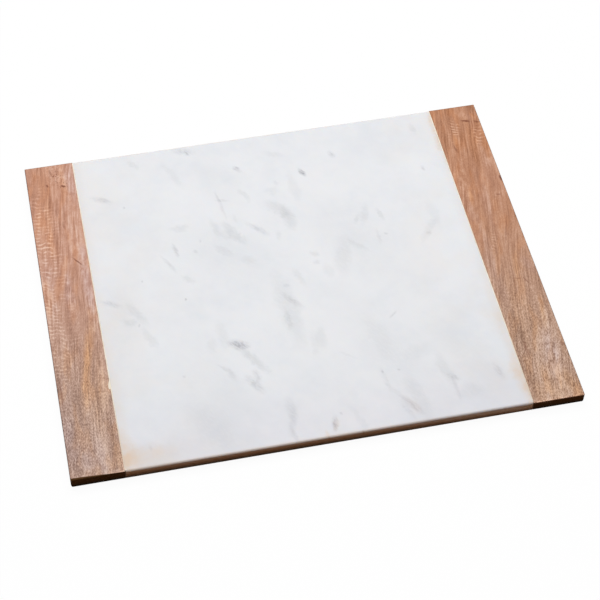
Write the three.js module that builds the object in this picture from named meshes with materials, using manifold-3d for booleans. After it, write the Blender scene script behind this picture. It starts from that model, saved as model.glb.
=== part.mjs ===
// Marble pastry board: a stone slab set edge to edge between two solid wood ends.
// Steel pins and a film of resin hold each joint, and four rubber feet carry the slab.
// Millimetres, +Z up, +X along the long side, origin on the worktop below the board's centre.
import * as THREE from 'three';
import { mergeVertices } from 'three/addons/utils/BufferGeometryUtils.js';
import Module from 'manifold-3d';

// Board
const SLAB_WIDTH = 402;
const END_WIDTH = 52;
const BOARD_DEPTH = 406.4;
const BOARD_THICKNESS = 12.7;

// Edges: the slab is ground along its front and back, the ends are routed on their three free sides
const SLAB_UPPER_RADIUS = 2.5;
const SLAB_LOWER_RADIUS = 2;
const END_UPPER_RADIUS = 1;
const END_FACE_LOWER_RADIUS = 2;
const END_SIDE_LOWER_RADIUS = 4.5;
const END_CORNER_RADIUS = 1;

// Joints between the slab and the ends
const BOND_THICKNESS = 1;
const PIN_DIAMETER = 5;
const PIN_EMBEDMENT = 20;
const PIN_CHAMFER = 0.6;
const PIN_CLEARANCE = 0.3;
const PIN_SETBACK = 53;

// Feet under the slab's corners
const FOOT_HEIGHT = 3;
const FOOT_SEAT_DIAMETER = 18;
const FOOT_TREAD_DIAMETER = 14;
const FOOT_RIM_RADIUS = 0.8;
const FOOT_INSET = 34;

// Facets of the round forms, and how far a cutter runs past the face that it enters
const ARC_STEPS = 6;
const PIN_SIDES = 24;
const FOOT_SIDES = 36;
const CUTTER_OVERRUN = 1;

const X_AXIS = new THREE.Vector3(1, 0, 0);
const Y_AXIS = new THREE.Vector3(0, 1, 0);
const Z_AXIS = new THREE.Vector3(0, 0, 1);
const QUARTER_TURN = Math.PI / 2;

const slabHalf = SLAB_WIDTH / 2;
const depthHalf = BOARD_DEPTH / 2;
const endInnerFace = slabHalf + BOND_THICKNESS;
const pinHeight = BOARD_THICKNESS / 2;
const pinStations = {
  front: PIN_SETBACK - depthHalf,
  middle: 0,
  back: depthHalf - PIN_SETBACK,
};

const wasm = await Module();
wasm.setup();

// Closed mesh to solid
function toSolid(geometry) {
  const bare = geometry.clone();
  bare.deleteAttribute('normal');
  bare.deleteAttribute('uv');
  const welded = mergeVertices(bare);
  return new wasm.Manifold(new wasm.Mesh({
    numProp: 3,
    vertProperties: welded.attributes.position.array,
    triVerts: new Uint32Array(welded.index.array),
  }));
}

// Solid to mesh, with flat faces kept crisp
function toGeometry(solid) {
  const { numProp, vertProperties, triVerts } = solid.getMesh();
  const welded = new THREE.BufferGeometry();
  welded.setAttribute('position', new THREE.BufferAttribute(vertProperties, numProp));
  welded.setIndex(new THREE.BufferAttribute(triVerts, 1));
  const geometry = welded.toNonIndexed();
  geometry.computeVertexNormals();
  return geometry;
}

// Rectangle with its own radius at each corner, 0 for a square one.
// The radii run lower left, lower right, upper right, upper left.
function roundedRectangle(left, right, low, high, radii) {
  const corners = [
    { x: left, y: low, inX: 1, inY: 1 },
    { x: right, y: low, inX: -1, inY: 1 },
    { x: right, y: high, inX: -1, inY: -1 },
    { x: left, y: high, inX: 1, inY: -1 },
  ];
  const points = corners.flatMap(({ x, y, inX, inY }, index) => {
    const radius = radii[index];
    if (radius === 0) {
      return [new THREE.Vector2(x, y)];
    }
    const start = Math.PI + index * QUARTER_TURN;
    const centreX = x + inX * radius;
    const centreY = y + inY * radius;
    const arc = new THREE.EllipseCurve(centreX, centreY, radius, radius, start, start + QUARTER_TURN);
    return arc.getPoints(ARC_STEPS);
  });
  return new THREE.Shape(points);
}

// Prism of a section whose own x and y lie along across and up, from start to end on the third axis
function prism(section, across, up, start, end) {
  const along = across.clone().cross(up);
  const placing = new THREE.Matrix4();
  placing.makeBasis(across, up, along.clone().multiplyScalar(end - start));
  placing.setPosition(along.clone().multiplyScalar(start));
  return new THREE.ExtrudeGeometry(section, { depth: 1, bevelEnabled: false }).applyMatrix4(placing);
}

// Section of the board from front to back, with its long edges rounded
function boardSection(lowerRadius, upperRadius) {
  const radii = [lowerRadius, lowerRadius, upperRadius, upperRadius];
  return roundedRectangle(-depthHalf, depthHalf, 0, BOARD_THICKNESS, radii);
}

// Pin holes of one joint, drilled along X from start to end
function pinHoles(start, end) {
  const holes = Object.values(pinStations).map((station) => {
    const radius = PIN_DIAMETER / 2 + PIN_CLEARANCE;
    const hole = new THREE.CylinderGeometry(radius, radius, end - start, PIN_SIDES);
    hole.rotateZ(-QUARTER_TURN);
    hole.translate((start + end) / 2, station, pinHeight);
    return toSolid(hole);
  });
  return holes.reduce((joined, hole) => joined.add(hole));
}

// The slab: its section run from joint face to joint face, with blind holes in both
function slabGeometry() {
  const section = boardSection(SLAB_LOWER_RADIUS, SLAB_UPPER_RADIUS);
  const blank = toSolid(prism(section, Y_AXIS, Z_AXIS, -slabHalf, slabHalf));
  const holeBottom = slabHalf - PIN_EMBEDMENT - PIN_CLEARANCE;
  const holeMouth = slabHalf + CUTTER_OVERRUN;
  const rightHoles = pinHoles(holeBottom, holeMouth);
  const leftHoles = pinHoles(-holeMouth, -holeBottom);
  return toGeometry(blank.subtract(rightHoles).subtract(leftHoles));
}

// A wood end with its joint face at x = 0: the routed edges of its front, side and back meet
// at the two outer corners, which are rounded in plan; below, the side is rounded more for the fingers
function endGeometry() {
  const frontToBack = boardSection(END_FACE_LOWER_RADIUS, END_UPPER_RADIUS);
  const outwards = roundedRectangle(
    0, END_WIDTH, 0, BOARD_THICKNESS, [0, END_SIDE_LOWER_RADIUS, END_UPPER_RADIUS, 0],
  );
  const plan = roundedRectangle(
    0, END_WIDTH, -depthHalf, depthHalf, [0, END_CORNER_RADIUS, END_CORNER_RADIUS, 0],
  );
  const blank = toSolid(prism(frontToBack, Y_AXIS, Z_AXIS, 0, END_WIDTH))
    .intersect(toSolid(prism(outwards, X_AXIS, Z_AXIS, -depthHalf, depthHalf)))
    .intersect(toSolid(prism(plan, X_AXIS, Y_AXIS, 0, BOARD_THICKNESS)));
  const holes = pinHoles(-CUTTER_OVERRUN, PIN_EMBEDMENT + PIN_CLEARANCE);
  return toGeometry(blank.subtract(holes));
}

// The resin between slab and end, flush with whichever of the two is rounded more, open at the pins
function bondGeometry() {
  const section = boardSection(
    Math.max(SLAB_LOWER_RADIUS, END_FACE_LOWER_RADIUS),
    Math.max(SLAB_UPPER_RADIUS, END_UPPER_RADIUS),
  );
  const film = toSolid(prism(section, Y_AXIS, Z_AXIS, 0, BOND_THICKNESS));
  return toGeometry(film.subtract(pinHoles(-CUTTER_OVERRUN, BOND_THICKNESS + CUTTER_OVERRUN)));
}

// A pin turned about its length, chamfered at both ends
function pinGeometry() {
  const length = 2 * PIN_EMBEDMENT + BOND_THICKNESS;
  const radius = PIN_DIAMETER / 2;
  const profile = [
    new THREE.Vector2(0, -length / 2),
    new THREE.Vector2(radius - PIN_CHAMFER, -length / 2),
    new THREE.Vector2(radius, PIN_CHAMFER - length / 2),
    new THREE.Vector2(radius, length / 2 - PIN_CHAMFER),
    new THREE.Vector2(radius - PIN_CHAMFER, length / 2),
    new THREE.Vector2(0, length / 2),
  ];
  return new THREE.LatheGeometry(profile, PIN_SIDES);
}

// A foot: a tapered rubber disc, wider where it is stuck to the slab, its tread rounded at the rim
function footGeometry() {
  const flatRadius = FOOT_TREAD_DIAMETER / 2 - FOOT_RIM_RADIUS;
  const rim = new THREE.EllipseCurve(
    flatRadius, FOOT_RIM_RADIUS, FOOT_RIM_RADIUS, FOOT_RIM_RADIUS, -QUARTER_TURN, 0,
  );
  const profile = [
    new THREE.Vector2(0, 0),
    ...rim.getPoints(ARC_STEPS),
    new THREE.Vector2(FOOT_SEAT_DIAMETER / 2, FOOT_HEIGHT),
    new THREE.Vector2(0, FOOT_HEIGHT),
  ];
  return new THREE.LatheGeometry(profile, FOOT_SIDES);
}

const marble = () => new THREE.MeshStandardMaterial({ color: 0xe6e7ea, roughness: 0.3, metalness: 0 });
const oiledWood = () => new THREE.MeshStandardMaterial({ color: 0xb98d76, roughness: 0.5, metalness: 0 });
const resin = () => new THREE.MeshStandardMaterial({ color: 0xe9dcc8, roughness: 0.45, metalness: 0 });
const steel = () => new THREE.MeshStandardMaterial({ color: 0xb9bcc0, roughness: 0.35, metalness: 1 });
const rubber = () => new THREE.MeshStandardMaterial({ color: 0x4b4b4d, roughness: 0.8, metalness: 0 });

function piece(name, geometry, material) {
  const mesh = new THREE.Mesh(geometry, material);
  mesh.name = name;
  return mesh;
}

// One joint seen from the slab: its resin, its pins and the wood end that they hold.
// The left joint is the right one turned half round, so its front and back change places.
function joint(side) {
  const turned = side === 'left';
  const group = new THREE.Group();
  group.rotation.z = turned ? Math.PI : 0;

  const bond = piece(`${side}_bond_line`, bondGeometry(), resin());
  bond.position.x = slabHalf;
  group.add(bond);

  for (const [station, y] of Object.entries(pinStations)) {
    const pin = piece(`${side}_${station}_pin`, pinGeometry(), steel());
    pin.rotation.z = -QUARTER_TURN;
    pin.position.set(slabHalf + BOND_THICKNESS / 2, turned ? -y : y, pinHeight);
    group.add(pin);
  }

  const woodEnd = piece(`${side}_wood_end`, endGeometry(), oiledWood());
  woodEnd.position.x = endInnerFace;
  group.add(woodEnd);
  return group;
}

const pastryBoard = new THREE.Group();

const deck = new THREE.Group();
deck.position.z = FOOT_HEIGHT;
deck.add(piece('marble_slab', slabGeometry(), marble()));
deck.add(joint('left'), joint('right'));
pastryBoard.add(deck);

for (const [row, y] of [['front', FOOT_INSET - depthHalf], ['back', depthHalf - FOOT_INSET]]) {
  for (const [side, x] of [['left', FOOT_INSET - slabHalf], ['right', slabHalf - FOOT_INSET]]) {
    const foot = piece(`${row}_${side}_foot`, footGeometry(), rubber());
    foot.rotation.x = QUARTER_TURN;
    foot.position.set(x, y, 0);
    pastryBoard.add(foot);
  }
}

export default pastryBoard;
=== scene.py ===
import math

import bpy
from mathutils import Euler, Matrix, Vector


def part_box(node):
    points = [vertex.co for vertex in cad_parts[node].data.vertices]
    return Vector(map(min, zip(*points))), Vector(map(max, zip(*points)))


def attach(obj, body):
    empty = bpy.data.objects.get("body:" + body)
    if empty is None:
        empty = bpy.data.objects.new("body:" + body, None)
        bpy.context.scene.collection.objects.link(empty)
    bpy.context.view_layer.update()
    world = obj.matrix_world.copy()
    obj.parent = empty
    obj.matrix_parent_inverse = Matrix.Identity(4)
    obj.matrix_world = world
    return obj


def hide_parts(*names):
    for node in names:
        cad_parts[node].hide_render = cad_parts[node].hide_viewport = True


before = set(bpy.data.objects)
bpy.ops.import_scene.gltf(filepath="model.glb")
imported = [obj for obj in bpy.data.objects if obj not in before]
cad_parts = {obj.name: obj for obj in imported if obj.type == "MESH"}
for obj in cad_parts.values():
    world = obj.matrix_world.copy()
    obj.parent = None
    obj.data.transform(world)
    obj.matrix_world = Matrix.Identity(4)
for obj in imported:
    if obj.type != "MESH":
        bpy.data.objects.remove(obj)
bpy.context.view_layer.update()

# Marble slab: one piece of white stone, sawn to thickness and honed on top. Its front and back
# edges are ground round by hand, and blind holes in its two joint faces take the pins.
MM = 0.001
SLAB_UPPER_RADIUS = 2.5 * MM
SLAB_LOWER_RADIUS = 2 * MM
JOINT_ARRIS = 0.15 * MM
PIN_CLEARANCE = 0.3 * MM
PIN_NAMES = [
    f"{side}_{station}_pin"
    for side in ("left", "right")
    for station in ("front", "middle", "back")
]
EDGE_SEGMENTS = 6
BORE_SIDES = 32
SMOOTH_ANGLE = math.radians(40)


def block(name, low, high):
    """Start a piece from a cube that fills the space between two corners."""
    bpy.ops.object.select_all(action="DESELECT")
    bpy.ops.mesh.primitive_cube_add(size=1, location=(low + high) / 2, scale=high - low)
    piece = bpy.context.object
    piece.name = name
    bpy.ops.object.transform_apply(location=True, rotation=True, scale=True)
    return piece


def apply_modifier(piece, kind, **settings):
    """Add a modifier to a piece and make its result the piece's mesh."""
    modifier = piece.modifiers.new(kind.lower(), kind)
    for name, setting in settings.items():
        setattr(modifier, name, setting)
    bpy.context.view_layer.objects.active = piece
    bpy.ops.object.modifier_apply(modifier=modifier.name)


def round_edges(piece, radius_of_edge):
    """Round the edges of a block, each by what radius_of_edge gives for its middle and its run."""
    mesh = piece.data
    radii = []
    for edge in mesh.edges:
        start, end = (mesh.vertices[i].co for i in edge.vertices)
        radii.append(radius_of_edge((start + end) / 2, end - start))
    largest = max(radii)
    weights = mesh.attributes.new("bevel_weight_edge", "FLOAT", "EDGE")
    for weight, radius in zip(weights.data, radii):
        weight.value = radius / largest
    apply_modifier(piece, "BEVEL", width=largest, segments=EDGE_SEGMENTS, limit_method="WEIGHT")


def bore_pin_holes(piece):
    """Bore the holes of all the pins out of a piece, with clearance round each pin."""
    bpy.ops.object.select_all(action="DESELECT")
    bits = []
    for name in PIN_NAMES:
        low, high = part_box(name)
        bpy.ops.mesh.primitive_cylinder_add(
            vertices=BORE_SIDES,
            radius=(high.z - low.z) / 2 + PIN_CLEARANCE,
            depth=high.x - low.x + 2 * PIN_CLEARANCE,
            location=(low + high) / 2,
            rotation=(0, math.pi / 2, 0),
        )
        bits.append(bpy.context.object)
    for bit in bits:
        bit.select_set(True)
    bpy.ops.object.join()
    drill = bpy.context.object
    apply_modifier(piece, "BOOLEAN", operation="DIFFERENCE", object=drill, solver="EXACT")
    bpy.data.objects.remove(drill)


def smooth(piece):
    """Shade the round edges smooth and keep the flat faces flat."""
    bpy.ops.object.select_all(action="DESELECT")
    piece.select_set(True)
    bpy.context.view_layer.objects.active = piece
    bpy.ops.object.shade_smooth_by_angle(angle=SMOOTH_ANGLE)
    apply_modifier(piece, "WEIGHTED_NORMAL", keep_sharp=True)


slab_low, slab_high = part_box("marble_slab")
slab_middle = (slab_low + slab_high) / 2


def slab_edge(middle, run):
    """The long edges are ground round, the edges of the joint faces only eased."""
    along_slab = abs(run.x) > 0
    if along_slab:
        return SLAB_UPPER_RADIUS if middle.z > slab_middle.z else SLAB_LOWER_RADIUS
    return JOINT_ARRIS


slab = block("marble_slab_honed", slab_low, slab_high)
round_edges(slab, slab_edge)
bore_pin_holes(slab)
smooth(slab)


class Field:
    """A value, vector or colour that varies over a surface: a socket in one material's node tree."""

    def __init__(self, socket):
        self.socket = socket

    def node(self, kind, settings, inputs, output=0):
        """Add a node to the tree, set it up, feed its inputs and give back one of its outputs."""
        tree = self.socket.id_data
        made = tree.nodes.new(kind)
        for name, setting in settings.items():
            setattr(made, name, setting)
        for key, value in inputs.items():
            target = made.inputs[key]
            if isinstance(value, Field):
                tree.links.new(value.socket, target)
            elif target.type == "RGBA":
                target.default_value = (*value, 1)
            elif target.type == "VECTOR" and isinstance(value, (int, float)):
                target.default_value = (value, value, value)
            else:
                target.default_value = value
        return Field(made.outputs[output])

    def combine(self, operation, first, second):
        """Work out an operation on two terms, as vectors if either of them is one."""
        holds_vector = [
            isinstance(term, (tuple, Vector)) or isinstance(term, Field) and term.socket.type != "VALUE"
            for term in (first, second)
        ]
        kind = "ShaderNodeVectorMath" if any(holds_vector) else "ShaderNodeMath"
        return self.node(kind, {"operation": operation}, {0: first, 1: second})

    def __add__(self, other):
        return self.combine("ADD", self, other)

    def __radd__(self, other):
        return self.combine("ADD", other, self)

    def __sub__(self, other):
        return self.combine("SUBTRACT", self, other)

    def __rsub__(self, other):
        return self.combine("SUBTRACT", other, self)

    def __mul__(self, other):
        return self.combine("MULTIPLY", self, other)

    def function(self, operation, other=0.0):
        """A named operation on the value, with a second term where it takes one."""
        return self.node("ShaderNodeMath", {"operation": operation}, {0: self, 1: other})

    def part(self, axis):
        """The X, Y or Z of a position or a normal."""
        return self.node("ShaderNodeSeparateXYZ", {}, {0: self}, output="XYZ".index(axis))

    def ramp(self, low, high, start=0.0, end=1.0):
        """Rise smoothly from start to end as the value goes from low to high."""
        settings = {"interpolation_type": "SMOOTHSTEP"}
        inputs = {"Value": self, "From Min": low, "From Max": high, "To Min": start, "To Max": end}
        return self.node("ShaderNodeMapRange", settings, inputs)

    def noise(self, grain, detail, roughness=0.5, output=0):
        """Noise over a position, with features about as large as grain, in metres on each axis."""
        size = grain if isinstance(grain, tuple) else (grain, grain, grain)
        spot = self * tuple(1 / length for length in size)
        inputs = {"Vector": spot, "Scale": 1.0, "Detail": detail, "Roughness": roughness}
        return spot.node("ShaderNodeTexNoise", {}, inputs, output)

    def wander(self, grain, reach, detail=2.0):
        """The position, pushed about by up to half of reach."""
        return self + (self.noise(grain, detail, output=1) - 0.5) * reach

    def stroke(self, start, end, width, depth, soft):
        """Mask of an ellipse drawn on the top from start to end, in millimetres, depth strong inside."""
        reach = Vector(end) - Vector(start)
        middle = (Vector(start) + Vector(end)) / 2 * MM
        half = ((reach.length + width) / 2 * MM, width / 2 * MM, 1)
        inputs = {
            "Vector": self,
            "Location": (*middle, 0),
            "Rotation": (0, 0, math.atan2(reach.y, reach.x)),
            "Scale": half,
        }
        spot = self.node("ShaderNodeMapping", {"vector_type": "TEXTURE"}, inputs)
        distance = spot.node("ShaderNodeVectorMath", {"operation": "LENGTH"}, {0: spot}, output=1)
        return distance.ramp(1 + soft, 1 - soft, 0, depth)

    def shades(self, stops):
        """The colour that the value picks between stops, each one a place and a colour."""
        picked = self.node("ShaderNodeValToRGB", {}, {"Fac": self})
        elements = picked.socket.node.color_ramp.elements
        while len(elements) < len(stops):
            elements.new(1)
        for element, (place, colour) in zip(elements, stops):
            element.position = place
            element.color = (*colour, 1)
        return picked

    def tint(self, colour, amount):
        """This colour, mixed with another one by amount."""
        inputs = {0: amount, 6: self, 7: colour}
        return self.node("ShaderNodeMix", {"data_type": "RGBA"}, inputs, output=2)


def new_material(name):
    """A material with its shader, and the position and normal on the object that its pattern reads."""
    material = bpy.data.materials.new(name)
    material.use_nodes = True
    tree = material.node_tree
    shader = tree.nodes["Principled BSDF"]
    coordinates = tree.nodes.new("ShaderNodeTexCoord")
    return material, shader, Field(coordinates.outputs["Object"]), Field(coordinates.outputs["Normal"])


def feed(shader, **fields):
    """Link fields to the shader's sockets, named with _ for a space."""
    for name, field in fields.items():
        shader.id_data.links.new(field.socket, shader.inputs[name.replace("_", " ").title()])


def bump(height, distance):
    """Normals of a surface that rises by distance where height goes from 0 to 1."""
    return height.node("ShaderNodeBump", {}, {"Distance": distance, "Height": height})


# The stone's own marks, in millimetres from the board's centre: start, end, width, depth
DARK_FLECKS = [
    ((41.5, 141.5), (43.5, 136.5), 4.6, 0.74),
    ((-72, -75), (-65, -79), 9, 0.58),
    ((-28, 160), (-25, 156), 4.5, 0.36),
    ((79, 161), (80.5, 157), 5, 0.27),
    ((-184, 145), (-171, 138), 6.5, 0.16),
    ((-178, 143), (-173, 140), 5, 0.17),
    ((-65, -122), (-58, -134), 7, 0.28),
    ((-58, -115), (-57, -122), 6, 0.22),
    ((-29, 78), (-22, 70), 5, 0.14),
    ((-21, 71), (-14, 63), 6, 0.18),
    ((-86, 198), (-74, 193), 8, 0.2),
    ((-77, 193), (-76, 191), 3, 0.3),
    ((-111.5, 62), (-109.5, 51), 4, 0.28),
    ((-192, 2), (-182, -4), 6, 0.24),
    ((81, -176), (89, -188), 6.5, 0.3),
    ((76, -180), (82, -194), 5, 0.14),
    ((6.5, -185), (5, -193), 5, 0.5),
    ((131, -156), (135, -159), 5, 0.24),
    ((178, -155), (180, -164), 6, 0.2),
    ((-9, -26), (1, -38.5), 6, 0.22),
    ((173, 121.5), (173.5, 118), 3.5, 0.26),
    ((-3.3, -203), (-3.1, -205), 2, 0.5),
    ((31, -203), (31.2, -205), 2, 0.4),
]
SOFT_FLECKS = [
    ((-103, 178), (-91, 150), 7, 0.1),
    ((-139, 189), (-135, 183), 7, 0.17),
    ((-52, 77), (-40, 58), 9, 0.23),
    ((-58, 70), (-52, 66), 9, 0.1),
    ((-66, 88), (-64, 70), 7, 0.15),
    ((-66, 52), (-57, 41), 8, 0.13),
    ((-106, 86), (-95, 87), 7, 0.15),
    ((-42, 29), (-35, 28), 9, 0.1),
    ((-106, 18), (-101, 13), 7, 0.17),
    ((-28.5, 124), (-24, 112), 5, 0.15),
    ((4, 96), (11, 86), 16, 0.23),
    ((13, 84), (16, 69), 12, 0.21),
    ((27, 136), (30, 106), 9, 0.1),
    ((10, 173), (22, 170), 8, 0.12),
    ((97, 77), (93, 60), 7, 0.14),
    ((88, 68), (85, 60), 5, 0.15),
    ((110.5, 69), (112, 58), 4, 0.2),
    ((168, 67), (169, 44), 10, 0.1),
    ((168, 44), (150, 23), 8, 0.12),
    ((64, 32), (58, 2), 16, 0.13),
    ((72, 34), (83, 22), 7, 0.14),
    ((30, 25), (32, 24), 6, 0.17),
    ((28.5, 14.5), (30.5, 14), 6, 0.16),
    ((7, 5), (11, -9), 7, 0.14),
    ((42, 2), (42, -4), 10, 0.1),
    ((-168, -10), (-157, -29), 8, 0.18),
    ((-158, -43), (-153, -59), 8, 0.15),
    ((-174, -27), (-169, -28), 8, 0.16),
    ((-14, -48), (-12, -64), 6, 0.18),
    ((-12, -14), (-7, -76), 19, 0.17),
    ((-65, -86), (-48.5, -112), 8, 0.24),
    ((-96, -71), (-96, -77), 10, 0.1),
    ((-83.5, -52), (-82.5, -73), 10, 0.12),
    ((-118, -160), (-108, -184), 34, 0.1),
    ((17, -76), (15, -92), 9, 0.15),
    ((9, -82), (7, -98), 9, 0.11),
    ((68, -76), (76, -112), 18, 0.1),
    ((126, -136), (130, -158), 12, 0.17),
    ((141, -176), (150, -178), 15, 0.13),
    ((90, -158), (98, -195), 13, 0.12),
    ((96, -122), (112, -118), 16, 0.08),
    ((174, 184), (177, 176), 6, 0.17),
    ((10, 130), (11, 127), 5, 0.12),
    ((0, 121), (8, 119), 8, 0.1),
    ((27, -176), (33, -198), 7, 0.1),
    ((-192, -188), (-150, -188), 30, 0.09),
    ((-75, 60), (-40, 18), 55, 0.06),
    ((60, 65), (95, 5), 60, 0.06),
    ((-110, -90), (-95, -190), 60, 0.06),
    ((-60, 190), (-45, 120), 40, 0.05),
    ((62, -75), (105, -190), 46, 0.06),
    ((150, -110), (165, -185), 44, 0.06),
    ((-180, 30), (-185, -60), 34, 0.05),
]
THIN_VEINS = [
    ((-55.5, 127), (-53.5, 116), 3, 0.22),
    ((-54, 117), (-46, 115), 3.5, 0.18),
    ((-53.5, 116), (-51, 94), 3, 0.19),
    ((-126, 50), (-120, 40), 3, 0.18),
    ((-121, 41), (-116, 31), 3.6, 0.22),
    ((-92, -99), (-83, -108), 3, 0.22),
    ((-84, -107), (-80, -116), 6, 0.2),
    ((-32.5, -157), (-32, -172), 9, 0.22),
    ((-32, -170), (-37, -189), 6, 0.17),
    ((-37, -187), (-32.5, -206), 4, 0.22),
    ((65.5, -137), (67.5, -158), 4, 0.16),
    ((67.5, -156), (80, -175), 4, 0.13),
    ((103, 40), (103, 27), 3.4, 0.18),
    ((132, -160), (132.5, -181), 3.4, 0.18),
    ((89, -73.5), (92, -71), 2, 0.26),
    ((93, -70), (96, -67.5), 2.2, 0.28),
    ((31, -107), (42, -115), 2.4, 0.1),
    ((-42, 92), (-41, 84), 3, 0.13),
    ((0, 60), (-1, 52), 4, 0.17),
]
SPECKS = [
    ((-155.7, 127), (-155.4, 126), 2, 0.34),
    ((-83, 65), (-83, 64), 2.4, 0.34),
    ((-91, 52), (-90, 51), 3.4, 0.3),
    ((-151, 23), (-151, 22), 1.8, 0.5),
    ((-110.7, -9), (-110.7, -10), 2, 0.5),
    ((-163, -33), (-163, -34.5), 2, 0.36),
    ((-6.5, -12), (-5.5, -12), 3.4, 0.26),
    ((111, 37), (111.5, 36.5), 3, 0.34),
    ((156, 29), (157, 28.5), 3.6, 0.24),
    ((-128.5, -104.5), (-128.5, -105.5), 2.6, 0.24),
    ((82, -138), (82.5, -138.5), 2.2, 0.42),
    ((14, -178), (14.3, -178.3), 2.6, 0.26),
    ((-174, -180), (-173.6, -183), 3, 0.2),
    ((65.5, -137.5), (65.7, -138), 2.4, 0.36),
]
WARM_STAINS = [
    ((-203, -178), (-200, -206), 24, 0.55),
    ((-200, -189), (-168, -189), 20, 0.32),
    ((-201, -80), (-199, -170), 18, 0.16),
    ((-178, -8), (-186, -24), 18, 0.1),
    ((202, 200), (202, 130), 8, 0.5),
    ((199, -158), (200, -184), 13, 0.5),
    ((200, -186), (201, -204), 7, 0.3),
    ((201, -60), (199, -175), 14, 0.18),
    ((191, -84), (193, -106), 16, 0.14),
    ((-4, -198), (-3, -203), 4.5, 0.3),
    ((188, 200), (186, 160), 28, 0.08),
    ((188, -192), (168, -186), 30, 0.03),
    ((6.5, -186), (5, -193), 6, 0.22),
    ((83, -177), (88, -187), 8, 0.16),
    ((-188, -197), (-135, -192), 26, 0.11),
]

STONE_SHADES = [(0.3, (0.757, 0.773, 0.806)), (0.5, (0.804, 0.813, 0.837)), (0.7, (0.829, 0.834, 0.851))]
BLUSH = (1.0, 0.983, 0.965)
FRONT_CAST = (0.985, 0.97, 0.98)
VEIN_GREY = (0.40, 0.42, 0.44)
FLECK_GREY = (0.19, 0.185, 0.225)
STAIN = (0.74, 0.595, 0.475)
# Painted shade: tan on the rounded arrises, warm brown and near black low on the front and back faces.
PAINTED_ARRIS_SHADE = (0.72, 0.58, 0.46)
PAINTED_WARM_SHADE = (0.46, 0.27, 0.13)
PAINTED_DARK_SHADE = (0.05, 0.028, 0.015)
FABRIC_SLANT = math.radians(55)


def marble_material():
    """Cloudy white stone with flecks and veins, stained beside the joints, with painted shade on its
    edges: tan on the arrises, warm brown to near black down the front and back faces.
    """
    material, shader, position, normal = new_material("white_marble")
    x, y, z = (position.part(axis) for axis in "XYZ")
    aside = x.function("ABSOLUTE")
    slant = {"Vector": position, "Rotation": (0, 0, FABRIC_SLANT)}
    fabric = position.node("ShaderNodeMapping", {}, slant)
    clouds = fabric.noise((60 * MM, 42 * MM, 40 * MM), detail=4, roughness=0.55)
    milk = position.noise(14 * MM, detail=4, roughness=0.55)
    shreds = fabric.noise((6 * MM, 2.2 * MM, 5 * MM), detail=4, roughness=0.65)
    towards_front = y.ramp(-30 * MM, -190 * MM)
    towards_back = y.ramp(110 * MM, 200 * MM)
    cloudy = 0.5 + (clouds - 0.5) * 0.6 + (milk - 0.5) * 0.25
    white = (cloudy - towards_front * 0.12 - towards_back * 0.08).shades(STONE_SHADES)
    beside_ends = aside.ramp(90 * MM, 180 * MM, 0.1, 1.0)
    blush = position.noise(45 * MM, detail=2).ramp(0.4, 0.6) * beside_ends
    blushing = white.tint(white * BLUSH, blush)
    stone = blushing.tint(blushing * FRONT_CAST, y.ramp(-120 * MM, -190 * MM))

    loose = position.wander(22 * MM, 12 * MM, detail=3).wander(4.5 * MM, 7 * MM, detail=4)
    tight = position.wander(5 * MM, 4 * MM, detail=4)
    soft_marks = sum(loose.stroke(*mark, soft=0.6) for mark in SOFT_FLECKS)
    dark_marks = sum(tight.stroke(*mark, soft=0.8) for mark in DARK_FLECKS)
    thin_marks = sum(tight.stroke(*mark, soft=0.8) for mark in THIN_VEINS + SPECKS)
    soft = soft_marks * shreds.ramp(0.3, 0.62, 0.65, 1.05)
    dark = dark_marks * shreds.ramp(0.36, 0.62, 0.4, 0.95)
    thin = thin_marks * shreds.ramp(0.3, 0.6, 0.3, 0.62)
    veined = stone.tint(VEIN_GREY, soft.function("MINIMUM", 1))
    flecked = veined.tint(FLECK_GREY, (dark + thin).function("MINIMUM", 1))

    beside_joint = aside.ramp(190 * MM, 201.5 * MM, 0, 0.16)
    stains = sum(loose.stroke(*mark, soft=0.8) for mark in WARM_STAINS) + beside_joint
    stain_depth = (stains * milk.ramp(0.3, 0.65, 0.6, 1.1)).function("MINIMUM", 1)
    stained = flecked.tint(STAIN, stain_depth)

    # Painted shade: the arrises and a strip of the top beside the front go tan, more at the left, and
    # the front and back faces warm brown, darkening to near black towards the bottom; lowered moves this
    # gradient lower towards the right end.
    turned_out = normal.part("Y").function("ABSOLUTE")
    lowered = x.ramp(20 * MM, 200 * MM, 0, 4.4 * MM)
    beside_front = y.ramp(slab_low.y + 5 * MM, slab_low.y + 1.5 * MM, 0, 0.2)
    on_face = y.function("ABSOLUTE").ramp(slab_high.y - 0.5 * MM, slab_high.y - 0.2 * MM)
    ground = turned_out.ramp(0.45, 1.0).function("MAXIMUM", on_face)
    rounded = turned_out.ramp(0.05, 0.5, 0, 0.45)
    arris_shade = rounded.function("MAXIMUM", beside_front) * x.ramp(30 * MM, 170 * MM, 1, 0.35)
    warm_shade = ground * (z + lowered).ramp(slab_high.z, slab_low.z + 6.5 * MM, 0, 0.85)
    dark_shade_top = slab_middle.z + 3.5 * MM
    dark_shade = ground * (z + lowered * 0.5).ramp(dark_shade_top, slab_low.z + 1.5 * MM, 0, 0.97)
    edged = stained.tint(PAINTED_ARRIS_SHADE, arris_shade).tint(PAINTED_WARM_SHADE, warm_shade).tint(PAINTED_DARK_SHADE, dark_shade)

    dust = position.noise(0.7 * MM, detail=3)
    honed = 0.32 + milk * 0.12 + ground * 0.2
    feed(shader, base_color=edged, roughness=honed, normal=bump(dust, 0.02 * MM))
    shader.inputs["Specular IOR Level"].default_value = 0.12
    shader.inputs["Subsurface Weight"].default_value = 0.25
    shader.inputs["Subsurface Radius"].default_value = (1.0, 0.75, 0.55)
    shader.inputs["Subsurface Scale"].default_value = 2.5 * MM
    return material


slab.data.materials.append(marble_material())
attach(slab, "root")
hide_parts("marble_slab")


# Pins: plain drawn steel rod cut to length, set half in the stone and half in the wood, three to a
# joint. They lie hidden in their holes.
STEEL_SHADES = [(0.3, (0.36, 0.37, 0.39)), (0.7, (0.56, 0.57, 0.59))]


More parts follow.
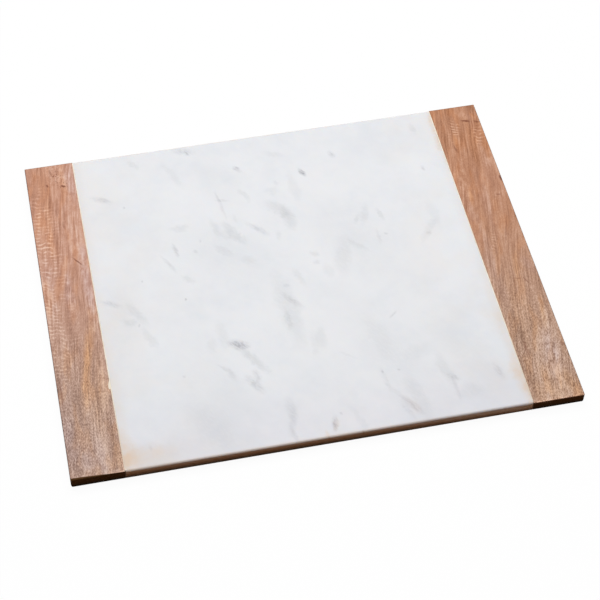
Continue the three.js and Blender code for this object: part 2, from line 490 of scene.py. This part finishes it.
def steel_material():
    """Bright steel with fine lines along the rod."""
    material, shader, position, _ = new_material("drawn_steel")
    drawn = position.noise((30 * MM, 0.15 * MM, 0.15 * MM), detail=3)
    feed(
        shader,
        base_color=drawn.shades(STEEL_SHADES),
        roughness=drawn.ramp(0.3, 0.7, 0.25, 0.45),
        normal=bump(drawn, 0.01 * MM),
    )
    shader.inputs["Metallic"].default_value = 1.0
    return material


drawn_steel = steel_material()
for pin_name in PIN_NAMES:
    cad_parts[pin_name].material_slots[0].material = drawn_steel


# Bond lines: cream resin that fills the joint between stone and wood and is scraped off level. On
# the left it also fills a chip that broke out of the wood's inner edge.
RESIN_DIP = 0.1 * MM
END_FACE_LOWER_RADIUS = 2 * MM
CHIP_PLACE = -100 * MM
CHIP_LENGTH = 12 * MM
CHIP_WIDTH = 1.5 * MM
CHIP_DEPTH = 3 * MM
CHIP_TURN = math.radians(-9)
CHIP_SIDES = 32
CREAM_SHADES = [(0.3, (0.79, 0.68, 0.52)), (0.5, (0.87, 0.79, 0.66)), (0.7, (0.92, 0.88, 0.79))]
SOILED_RESIN = (0.62, 0.47, 0.36)
PAINTED_SHADE_RESIN = (0.13, 0.075, 0.04)


def copy_piece(piece, name):
    """Copy a piece with a mesh of its own."""
    bpy.ops.object.select_all(action="DESELECT")
    piece.select_set(True)
    bpy.context.view_layer.objects.active = piece
    bpy.ops.object.duplicate(linked=False)
    twin = bpy.context.object
    twin.name = name
    return twin


def turned_copy(piece, name):
    """Copy a piece of the right joint to the left one, turned half round about the board's centre."""
    twin = copy_piece(piece, name)
    twin.rotation_euler.z = math.pi
    bpy.ops.object.transform_apply(location=True, rotation=True, scale=True)
    return twin


def bond_edge(middle, run):
    """The film follows the more rounded of its neighbours at the front and back."""
    across_joint = abs(run.x) > 0
    if across_joint:
        return SLAB_UPPER_RADIUS if middle.z > slab_middle.z else END_FACE_LOWER_RADIUS
    return 0


def chip_form(top):
    """The lens-shaped hollow of the chip, up to a given height, cut off in the middle of the joint."""
    low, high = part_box("left_bond_line")
    floor_height = high.z - CHIP_DEPTH
    bpy.ops.object.select_all(action="DESELECT")
    bpy.ops.mesh.primitive_cylinder_add(
        vertices=CHIP_SIDES,
        radius=1,
        depth=1,
        location=(low.x, CHIP_PLACE, (floor_height + top) / 2),
        rotation=(0, 0, CHIP_TURN),
        scale=(CHIP_WIDTH, CHIP_LENGTH / 2, top - floor_height),
    )
    form = bpy.context.object
    bpy.ops.object.transform_apply(location=True, rotation=True, scale=True)
    bpy.ops.object.mode_set(mode="EDIT")
    bpy.ops.mesh.select_all(action="SELECT")
    bpy.ops.mesh.bisect(
        plane_co=((low.x + high.x) / 2, 0, 0), plane_no=(1, 0, 0), use_fill=True, clear_outer=True
    )
    bpy.ops.object.mode_set(mode="OBJECT")
    return form


def resin_material():
    """Mottled cream resin, soiled towards the front, with painted shade on the front and back faces."""
    material, shader, position, normal = new_material("cream_resin")
    mottle = position.noise((4 * MM, 9 * MM, 4 * MM), detail=4, roughness=0.6)
    grit = position.noise(0.5 * MM, detail=3)
    cream = (mottle * 0.8 + grit * 0.2).shades(CREAM_SHADES)
    soiled = cream.tint(SOILED_RESIN, position.part("Y").ramp(-100 * MM, -200 * MM, 0, 0.5))
    # Painted shade: the front and back faces of the film go dark brown.
    at_edge = normal.part("Y").function("ABSOLUTE").ramp(0.3, 0.8, 0, 0.92)
    feed(
        shader,
        base_color=soiled.tint(PAINTED_SHADE_RESIN, at_edge),
        roughness=mottle.ramp(0.3, 0.7, 0.4, 0.6),
        normal=bump(grit, 0.04 * MM),
    )
    shader.inputs["Specular IOR Level"].default_value = 0.1
    return material


bond_low, bond_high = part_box("right_bond_line")
dip = Vector((0, RESIN_DIP, RESIN_DIP))
right_bond = block("right_bond_line_scraped", bond_low + dip, bond_high - dip)
round_edges(right_bond, bond_edge)
bore_pin_holes(right_bond)
left_bond = turned_copy(right_bond, "left_bond_line_scraped")
filling = chip_form(bond_high.z - RESIN_DIP)
apply_modifier(left_bond, "BOOLEAN", operation="UNION", object=filling, solver="EXACT")
bpy.data.objects.remove(filling)

cream_resin = resin_material()
for bond, node in ((left_bond, "left_bond_line"), (right_bond, "right_bond_line")):
    smooth(bond)
    bond.data.materials.append(cream_resin)
    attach(bond, "root")
    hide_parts(node)


# Wood ends: solid brown hardwood, oiled, with the grain running front to back. The three free edges
# are routed round below and eased above, and the outer corners are rounded a little.
END_UPPER_RADIUS = 1 * MM
END_SIDE_LOWER_RADIUS = 4.5 * MM
END_CORNER_RADIUS = 1 * MM


def side_cut(middle, run):
    """Edges along the grain: eased at the joint, routed on the outer side, more below than above."""
    if abs(run.y) == 0:
        return 0
    if middle.x < end_low.x + MM:
        return JOINT_ARRIS
    return END_UPPER_RADIUS if middle.z > slab_middle.z else END_SIDE_LOWER_RADIUS


def face_cut(middle, run):
    """Edges of the front and back faces."""
    if abs(run.x) == 0:
        return 0
    return END_UPPER_RADIUS if middle.z > slab_middle.z else END_FACE_LOWER_RADIUS


def corner_cut(middle, run):
    """Upright edges of the outer corners."""
    return END_CORNER_RADIUS if abs(run.z) > 0 and middle.x > end_high.x - MM else 0


# The figure of each end: how far its grain leans, how far its sawn front face shows over the edge and
# is rubbed in at the outer corner, its dark, middle and light colour at the back and at the front, and
# its marks in millimetres from the board's centre: start, end, width, depth
LEFT_WOOD = {
    "lean": 0.1,
    "sawn_from": 0.4 * MM,
    "rubbed_corner": 1.9 * MM,
    "back": ((0.330, 0.150, 0.092), (0.565, 0.303, 0.214), (0.790, 0.545, 0.435)),
    "front": ((0.250, 0.150, 0.108), (0.480, 0.310, 0.242), (0.740, 0.540, 0.430)),
    "curl": [
        ((-244, 150), (-240, 60), 22, 1.0),
        ((-247, 60), (-248, -95), 18, 0.9),
        ((-230, 40), (-232, -60), 14, 0.4),
    ],
    "ochre": [
        ((-211.5, -27), (-221, -72), 9, 0.9),
        ((-220, -68), (-229, -118), 7.5, 0.75),
        ((-209, -70), (-210, -122), 11, 0.45),
        ((-227, 195), (-226, 150), 10, 0.2),
        ((-245, 180), (-246, 150), 10, 0.2),
        ((-245, 130), (-244, 80), 14, 0.22),
        ((-236.5, 196), (-236, 115), 10, 0.5),
        ((-218, -92), (-219, -152), 9, 0.3),
        ((-246, 197), (-243, 182), 9, 0.2),
        ((-206, -170), (-205, -198), 6, 0.6),
    ],
    "light": [
        ((-246, 165), (-246, 118), 4, 0.4),
        ((-249, -138), (-249, -168), 8, 0.6),
        ((-209, 196), (-207, 160), 9, 0.45),
        ((-218, 115), (-212, 62), 14, 0.5),
        ((-210, 150), (-209, 112), 7, 0.45),
        ((-208, 100), (-207, 60), 8, 0.3),
        ((-237, -24), (-237, -68), 7, 0.7),
        ((-226.5, -90), (-229, -132), 7, 1.1),
        ((-249, 66), (-249, -40), 13, 0.75),
        ((-220, 198), (-217, 178), 10, 1.0),
        ((-227, 44), (-227, -3), 9, 1.1),
        ((-208, 64), (-206, -42), 9, 0.85),
        ((-207, -72), (-207, -118), 10, 0.9),
        ((-220, -140), (-214, -206), 16, 0.8),
        ((-234, -170), (-234, -210), 10, 0.5),
        ((-222, -172), (-221, -210), 10, 0.4),
        ((-227, 192), (-226, 150), 9, 0.2),
    ],
    "shade": [
        ((-249, 200), (-251, 140), 12, 1.2),
        ((-231.5, 165), (-232.5, 55), 4.5, 0.7),
        ((-233, 40), (-232, -60), 7, 0.7),
        ((-216, 55), (-217, -5), 8, 0.6),
        ((-236.5, 196), (-236, 115), 9, 0.65),
        ((-227.5, -44), (-229, -88), 8, 1.0),
        ((-236.5, -102), (-236, -158), 9, 0.85),
        ((-217, -88), (-219, -152), 8, 0.6),
        ((-209, -145), (-210, -192), 8, 1.1),
        ((-246, -188), (-246, -212), 13, 0.9),
        ((-251, -95), (-252, -206), 8, 0.6),
        ((-243, -120), (-242, -206), 6, 0.5),
        ((-214, 160), (-205, 156), 5, 0.6),
    ],
    "lilac": [
        ((-250, -95), (-249, -145), 18, 0.25),
        ((-249, -148), (-247, -182), 18, 0.65),
        ((-227, 44), (-227, -3), 9, 0.6),
        ((-234, -165), (-233, -210), 10, 0.6),
        ((-222, -160), (-221, -210), 10, 0.5),
        ((-207, 196), (-206, 150), 10, 0.55),
        ((-206, 80), (-205.5, 66), 7, 0.6),
        ((-208, 55), (-206, 0), 10, 0.75),
        ((-246, 62), (-246, 8), 12, 0.35),
    ],
    "peppered": [((-227, 195), (-212, 166), 13, 1.3)],
    "dark": [
        ((-232.5, 174.5), (-232.3, 172.5), 2, 0.7),
        ((-216.5, 170.5), (-214.5, 169.5), 2.6, 0.85),
        ((-227.3, 195), (-227, 191), 2.2, 0.4),
        ((-226.3, 190), (-226.3, 187), 1.8, 0.35),
        ((-217, 67), (-209.5, 57), 1.5, 0.75),
        ((-227.3, 138), (-227, 128), 2.6, 0.25),
        ((-222, 119), (-221.5, 111), 2, 0.25),
        ((-250, -88), (-250.5, -118), 1.6, 0.45),
    ],
}
RIGHT_WOOD = {
    "lean": 0.2,
    "sawn_from": -1.0 * MM,
    "rubbed_corner": 0,
    "back": ((0.270, 0.115, 0.060), (0.505, 0.250, 0.150), (0.730, 0.450, 0.320)),
    "front": ((0.240, 0.135, 0.088), (0.495, 0.310, 0.224), (0.750, 0.540, 0.420)),
    "curl": [
        ((248, 168), (243, 146), 10, 1.0),
        ((224, 176), (219, 158), 12, 1.2),
        ((222, 12), (219, -4), 10, 0.6),
        ((212, -60), (214, -90), 12, 0.4),
    ],
    "ochre": [
        ((219.5, 160), (218, 146), 5, 0.6),
        ((214.5, 78), (213, 60), 4.5, 0.7),
        ((237, -18), (231.5, -48), 6, 0.8),
        ((248, -76), (240.5, -112), 5, 0.5),
        ((246, 190), (249, 184), 4, 0.4),
        ((222, -168), (226, -200), 10, 0.35),
        ((233, -175), (235, -200), 9, 0.3),
        ((229, -75), (228, -118), 10, 0.25),
        ((241, -172), (247, -198), 10, 0.6),
        ((210, -182), (211, -202), 10, 0.35),
        ((239, 174), (234, 112), 9, 0.35),
        ((220, -48), (217, -128), 9, 0.3),
    ],
    "light": [
        ((236, 190), (245, 185), 11, 0.6),
        ((233, 100), (226, 30), 7, 0.5),
        ((247, 132), (245, 111), 8, 0.8),
        ((245.5, -86), (242.5, -110), 7, 1.1),
        ((230, 30), (226, -10), 6, 0.5),
        ((212, 130), (209, 12), 10, 0.6),
        ((243, -112), (232, -172), 15, 0.9),
        ((238, -134), (235, -176), 9, 0.9),
        ((235, -120), (233, -142), 8, 0.5),
        ((222, -184), (222, -212), 12, 0.9),
        ((234, -180), (235, -212), 12, 1.1),
    ],
    "shade": [
        ((228, 198), (230, 148), 10, 0.5),
        ((247, 200), (248, 150), 10, 0.8),
        ((208, 175), (207, 120), 9, 0.5),
        ((224, 130), (219, 90), 5, 0.5),
        ((246, 104), (244, 78), 9, 0.4),
        ((220, 198), (217, 156), 8, 0.8),
        ((239, 174), (234, 112), 8, 1.0),
        ((238, -66), (236, -118), 8, 0.65),
        ((245, 203), (252, 196), 8, 0.6),
        ((219, -134), (217, -176), 8, 0.6),
        ((228, 14), (227, -24), 7, 0.5),
        ((246, 60), (240, 10), 8, 0.5),
        ((247, -5), (248, -55), 9, 0.35),
        ((209, -78), (209, -115), 9, 0.45),
        ((230, -70), (229, -118), 9, 0.5),
        ((213, -105), (213, -150), 6, 0.8),
        ((206, -150), (207, -190), 6, 0.4),
        ((210, -160), (210, -196), 9, 0.6),
        ((246, -165), (247, -197), 9, 0.6),
        ((228, 120), (226, 20), 7, 0.3),
        ((252, -150), (252, -206), 5, 0.5),
    ],
    "lilac": [
        ((240, -130), (234, -170), 16, 0.6),
        ((246, -28), (249, -40), 8, 0.5),
        ((208, 60), (210, -60), 12, 0.45),
        ((245, 125), (243, 70), 14, 0.4),
        ((230, 106), (226, 24), 9, 0.5),
        ((246, 197), (245, 156), 9, 0.5),
        ((238, -134), (235, -176), 9, 0.35),
    ],
    "peppered": [((222, 126), (218, 108), 10, 0.7), ((214, 145), (220, 134), 8, 0.6)],
    "dark": [
        ((234.5, 180.7), (241, 178.6), 2.6, 0.85),
        ((248, 177.5), (251, 176), 2.6, 0.6),
        ((215.4, 145), (216, 137), 1.8, 0.5),
        ((253, 92), (252.6, 87), 3, 0.9),
        ((241.8, 67), (245.5, 66.5), 1.6, 0.5),
        ((243, 34), (233, 2), 1.4, 0.4),
        ((213.8, -131), (213.3, -145), 3.2, 0.35),
        ((250.5, -137.5), (251, -140), 2.8, 0.45),
        ((229, -49), (237, -50), 1.2, 0.35),
        ((237, -50), (241, -58), 1.2, 0.5),
    ],
}

SHADE_PLACES = (0.05, 0.5, 0.95)
GLOW = (1.06, 0.93, 0.76)
OCHRE = (1.11, 0.99, 0.77)
LILAC = (0.93, 0.99, 1.14)
PORE_BROWN = (0.23, 0.09, 0.05)
SPOT_BROWN = (0.19, 0.062, 0.034)
EDGE_DARKENING = (0.36, 0.28, 0.25)
# Painted highlight: how much lighter the front arris is drawn.
PAINTED_HIGHLIGHT_GAIN = 2.2
SAWN_SHADES = [(0.3, (0.052, 0.022, 0.007)), (0.7, (0.11, 0.05, 0.016))]
# Painted shade: the near black that the sawn faces turn towards the bottom.
PAINTED_LOW_SHADE = (0.012, 0.006, 0.003)
CURL_SPACING = 4.8 * MM


def wood_material(name, figure):
    """Oiled wood with the bands, lines, curl, streaks and spots of one end, dark on its sawn faces,
    darker on its sides and rims, with a painted highlight on the front arris and painted shade low on
    the sawn faces.
    """
    material, shader, position, normal = new_material(name)
    x, y, z = (position.part(axis) for axis in "XYZ")
    aside = x.function("ABSOLUTE")
    sway = position.noise((40 * MM, 90 * MM, 40 * MM), detail=1) - 0.5
    across = x - y * figure["lean"] + sway * (14 * MM)
    grain = position.node("ShaderNodeCombineXYZ", {}, {0: across, 1: y, 2: z})
    drifting = position.wander((4 * MM, 14 * MM, 4 * MM), 4 * MM, detail=3)
    close = position.wander(2.5 * MM, 1.6 * MM)

    def marks(kind, place, soft=0.7):
        """All the marks of one kind, drawn over a position."""
        return sum(place.stroke(*mark, soft=soft) for mark in figure[kind])

    bands = grain.noise((7 * MM, 220 * MM, 20 * MM), detail=3)
    lines = grain.noise((1.9 * MM, 45 * MM, 5 * MM), detail=3, roughness=0.65)
    blotches = grain.noise((5 * MM, 11 * MM, 8 * MM), detail=4, roughness=0.6)
    dashes = grain.noise((0.7 * MM, 2.4 * MM, 3 * MM), detail=2)
    calm = grain.noise((16 * MM, 50 * MM, 20 * MM), detail=2).ramp(0.35, 0.6, 0.35, 1.0)
    towards_front = y.ramp(90 * MM, -140 * MM)
    speckled = y.ramp(30 * MM, -170 * MM)
    slip = grain.noise((10 * MM, 22 * MM, 10 * MM), detail=1) - 0.5
    swell = y + x * 0.25 + sway * (22 * MM) + slip * (9 * MM)
    ripple = (swell * (2 * math.pi / CURL_SPACING)).function("SINE")
    bars = grain.noise((7 * MM, 16 * MM, 8 * MM), detail=3, roughness=0.6).ramp(0.4, 0.62)
    curled = ripple.ramp(-0.2, 1.0, -0.15, 1.0) * bars * marks("curl", position)
    speckle = (dashes - 0.5) * (0.3 + speckled * 0.8)
    pores = dashes.ramp(0.42, 0.3) * (0.15 + speckled * 0.85)
    streaks = marks("light", drifting) - marks("shade", drifting)
    tone = (
        0.5
        + (bands - 0.5) * 0.6
        + lines.ramp(0.32, 0.68, -0.21, 0.21) * calm
        + (blotches - 0.5) * (0.5 - speckled * 0.15)
        + speckle * 1.7
        + curled * 0.38
        + streaks * blotches.ramp(0.35, 0.65, 0.06, 0.28)
    )
    back_timber = tone.shades(list(zip(SHADE_PLACES, figure["back"])))
    front_timber = tone.shades(list(zip(SHADE_PLACES, figure["front"])))
    timber = back_timber.tint(front_timber, towards_front)
    hue = grain.noise((11 * MM, 45 * MM, 15 * MM), detail=3)
    glowing = timber.tint(timber * GLOW, hue.ramp(0.48, 0.66, 0, 0.6))
    ochre = marks("ochre", drifting) * lines.ramp(0.35, 0.6, 0.55, 1.0)
    streaked = glowing.tint(glowing * OCHRE, ochre)
    greyed = streaked.tint(streaked * LILAC, marks("lilac", drifting).function("MINIMUM", 1))
    grains = grain.noise((1.2 * MM, 2.4 * MM, 2 * MM), detail=1).ramp(0.58, 0.7)
    pepper = grains * marks("peppered", position)
    pored = greyed.tint(PORE_BROWN, pepper * 0.65)
    spots = marks("dark", close, soft=0.5).function("MINIMUM", 1)
    spotted = pored.tint(SPOT_BROWN, spots)

    # Painted highlight: the front arris and a thin strip of the top beside the front edge are lightened.
    facing_front = normal.part("Y") * -1.0
    beside_front = y.ramp(end_low.y + 4 * MM, end_low.y + 1.5 * MM, 0, 0.07)
    eased = facing_front.ramp(0.02, 0.2) * facing_front.ramp(0.75, 0.45)
    painted_highlight = eased.function("MAXIMUM", beside_front)
    over_edge = (y - end_low.y) + (z - end_high.z)
    rubbed = aside.ramp(end_low.x, end_high.x, 0, figure["rubbed_corner"])
    at_front = y.ramp(end_low.y + 4 * MM, end_low.y + 3.5 * MM)
    sawn_depth = over_edge - rubbed - figure["sawn_from"]
    front_grain = sawn_depth.ramp(0.5 * MM, -0.5 * MM) * at_front
    back_grain = y.ramp(end_high.y - 0.4 * MM, end_high.y - 0.1 * MM)
    end_grain = front_grain.function("MAXIMUM", back_grain)
    # Darker on the side faces and along the back and outer rims of the top.
    long_side = normal.part("X").function("ABSOLUTE").ramp(0.1, 0.7)
    rim = y.ramp(end_high.y - 1.6 * MM, end_high.y - 0.3 * MM, 0, 0.6)
    outer_rim = aside.ramp(end_high.x - 1.3 * MM, end_high.x - 0.3 * MM, 0, 0.4)
    darkened = long_side.function("MAXIMUM", rim.function("MAXIMUM", outer_rim))
    rings = position.noise((6 * MM, 1000 * MM, 1.6 * MM), detail=3)
    vessels = position.noise((0.7 * MM, 1000 * MM, 0.7 * MM), detail=2)
    # Painted shade: the sawn faces darken to near black towards the bottom.
    low_shade = z.ramp(end_high.z - 4 * MM, end_low.z + 2 * MM, 0, 0.88)
    sawn = (rings * 0.6 + vessels * 0.4).shades(SAWN_SHADES).tint(PAINTED_LOW_SHADE, low_shade)
    edge_darkened = spotted.tint(spotted * EDGE_DARKENING, darkened)
    finished = edge_darkened.tint(edge_darkened * PAINTED_HIGHLIGHT_GAIN, painted_highlight).tint(sawn, end_grain)
    height = lines * 0.5 - pores - spots * 0.5 + vessels * end_grain
    feed(
        shader,
        base_color=finished,
        roughness=0.5 + (lines - 0.5) * 0.25 + end_grain * 0.3,
        normal=bump(height, 0.1 * MM),
    )
    shader.inputs["Specular IOR Level"].default_value = 0.06
    return material


end_low, end_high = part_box("right_wood_end")
right_end = block("right_wood_end_oiled", end_low, end_high)
round_edges(right_end, side_cut)
for cut in (face_cut, corner_cut):
    profile = block("cutter_path", end_low, end_high)
    round_edges(profile, cut)
    apply_modifier(right_end, "BOOLEAN", operation="INTERSECT", object=profile, solver="EXACT")
    bpy.data.objects.remove(profile)
bore_pin_holes(right_end)
left_end = turned_copy(right_end, "left_wood_end_oiled")
chip = chip_form(end_high.z + MM)
apply_modifier(left_end, "BOOLEAN", operation="DIFFERENCE", object=chip, solver="EXACT")
bpy.data.objects.remove(chip)

figured_ends = [
    (left_end, "left_wood_end", LEFT_WOOD),
    (right_end, "right_wood_end", RIGHT_WOOD),
]
for wood_end, node, figure in figured_ends:
    smooth(wood_end)
    wood_end.data.materials.append(wood_material(f"{node}_oiled_grain", figure))
    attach(wood_end, "root")
    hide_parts(node)


# Feet: moulded discs of dark grey rubber, wider at the top, stuck under the slab near its corners.
# Only the flat tread touches the worktop.
FOOT_TREAD_RADIUS = 7 * MM
FOOT_RIM_RADIUS = 0.8 * MM
FOOT_SIDES = 64
RUBBER_SHADES = [(0.3, (0.050, 0.050, 0.053)), (0.7, (0.085, 0.085, 0.088))]


def rubber_material():
    """Matt dark grey rubber with a faint bloom."""
    material, shader, position, _ = new_material("grey_rubber")
    bloom = position.noise(3 * MM, detail=4)
    grit = position.noise(0.3 * MM, detail=2)
    feed(
        shader,
        base_color=bloom.shades(RUBBER_SHADES),
        roughness=bloom.ramp(0.3, 0.7, 0.7, 0.85),
        normal=bump(grit, 0.03 * MM),
    )
    return material


def foot_edge(middle, run):
    """Only the rim of the tread is rounded."""
    on_tread = middle.z < foot_low.z + MM
    return FOOT_RIM_RADIUS if on_tread and abs(run.z) < FOOT_RIM_RADIUS else 0


foot_low, foot_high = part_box("front_left_foot")
bpy.ops.object.select_all(action="DESELECT")
bpy.ops.mesh.primitive_cone_add(
    vertices=FOOT_SIDES,
    radius1=FOOT_TREAD_RADIUS,
    radius2=(foot_high.x - foot_low.x) / 2,
    depth=foot_high.z - foot_low.z,
    location=(foot_low + foot_high) / 2,
)
first_foot = bpy.context.object
first_foot.name = "front_left_foot_moulded"
bpy.ops.object.transform_apply(location=True, rotation=True, scale=True)
round_edges(first_foot, foot_edge)
smooth(first_foot)
first_foot.data.materials.append(rubber_material())
feet = {"front_left_foot": first_foot}
for node in ("front_right_foot", "back_left_foot", "back_right_foot"):
    foot = copy_piece(first_foot, f"{node}_moulded")
    foot.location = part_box(node)[0] - foot_low
    bpy.ops.object.transform_apply(location=True, rotation=True, scale=True)
    feet[node] = foot
for node, foot in feet.items():
    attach(foot, "root")
    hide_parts(node)


# Studio: a pale floor that keeps a soft shadow, one large soft light above and behind the board, and
# a little light from all round. The floor gives back little and warm light, as a wooden worktop does.
FLOOR_SIZE = 12.0
FLOOR_BOUNCE = (0.32, 0.145, 0.050)
FLOOR_PALE = (0.98, 0.98, 0.98)
FLOOR_GLOW = 0.96
WORLD_FILL = 0.04
LIGHT_PLACE = Vector((0.0, 0.6, 2.5))
LIGHT_SIZE = (2.6, 1.6)
LIGHT_POWER = 78.0


def ray_kinds(tree):
    """Masks of rays straight from the camera, and of those that come by mirrors or glass as well."""
    rays = tree.nodes.new("ShaderNodeLightPath")
    to_camera = Field(rays.outputs["Is Camera Ray"])
    mirrored = Field(rays.outputs["Is Glossy Ray"]) + Field(rays.outputs["Is Transmission Ray"])
    return to_camera, (to_camera + mirrored).function("MINIMUM", 1)


bpy.ops.object.select_all(action="DESELECT")
bpy.ops.mesh.primitive_plane_add(size=FLOOR_SIZE, location=(0, 0, 0))
floor = bpy.context.object
floor.name = "studio_floor"

floor_material = bpy.data.materials.new("pale_floor")
floor_material.use_nodes = True
floor_nodes = floor_material.node_tree.nodes
floor_nodes.remove(floor_nodes["Principled BSDF"])
to_camera, seen = ray_kinds(floor_material.node_tree)
bounce = to_camera.node(
    "ShaderNodeMix", {"data_type": "RGBA"}, {0: seen, 6: FLOOR_BOUNCE, 7: FLOOR_PALE}, output=2
)
matt = bounce.node("ShaderNodeBsdfDiffuse", {}, {"Color": bounce})
glow = bounce.node("ShaderNodeEmission", {}, {"Color": (1, 1, 1), "Strength": 1.0})
surface = bounce.node("ShaderNodeMixShader", {}, {0: to_camera * FLOOR_GLOW, 1: matt, 2: glow})
floor_material.node_tree.links.new(surface.socket, floor_nodes["Material Output"].inputs["Surface"])
floor.data.materials.append(floor_material)

world = bpy.data.worlds.new("studio")
bpy.context.scene.world = world
world.use_nodes = True
_, sky_seen = ray_kinds(world.node_tree)
sky = world.node_tree.nodes["Background"]
sky.inputs["Color"].default_value = (1, 1, 1, 1)
world.node_tree.links.new(sky_seen.ramp(0, 1, WORLD_FILL, 1).socket, sky.inputs["Strength"])

softbox = bpy.data.lights.new("softbox", "AREA")
softbox.shape = "RECTANGLE"
softbox.size, softbox.size_y = LIGHT_SIZE
softbox.energy = LIGHT_POWER
softbox_lamp = bpy.data.objects.new("softbox", softbox)
bpy.context.scene.collection.objects.link(softbox_lamp)
softbox_lamp.location = LIGHT_PLACE
softbox_lamp.rotation_euler = (-LIGHT_PLACE).to_track_quat("-Z", "Y").to_euler()

# Camera: above the front of the board and a little to its left, looking down at it with a long lens,
# as in the photograph. The lens is shifted, so the aim sits left of the picture's middle.
CAMERA_AIM = Vector((-26.38, -27.19, 15.7)) * MM
CAMERA_DISTANCE = 1711.8 * MM
CAMERA_TURN = math.radians(11.282)
CAMERA_HEIGHT = math.radians(51.926)
LENS = 100.174
SENSOR_WIDTH = 36
LENS_SHIFT = 0.05

lens = bpy.data.cameras.new("camera")
lens.lens = LENS
lens.sensor_width = SENSOR_WIDTH
lens.shift_x = LENS_SHIFT
camera = bpy.data.objects.new("camera", lens)
bpy.context.scene.collection.objects.link(camera)
facing = Euler((math.pi / 2 - CAMERA_HEIGHT, 0, -CAMERA_TURN)).to_matrix()
camera.location = CAMERA_AIM + facing @ Vector((0, 0, CAMERA_DISTANCE))
camera.rotation_euler = facing.to_euler()
bpy.context.scene.camera = camera
bpy.context.scene.view_settings.view_transform = "Standard"
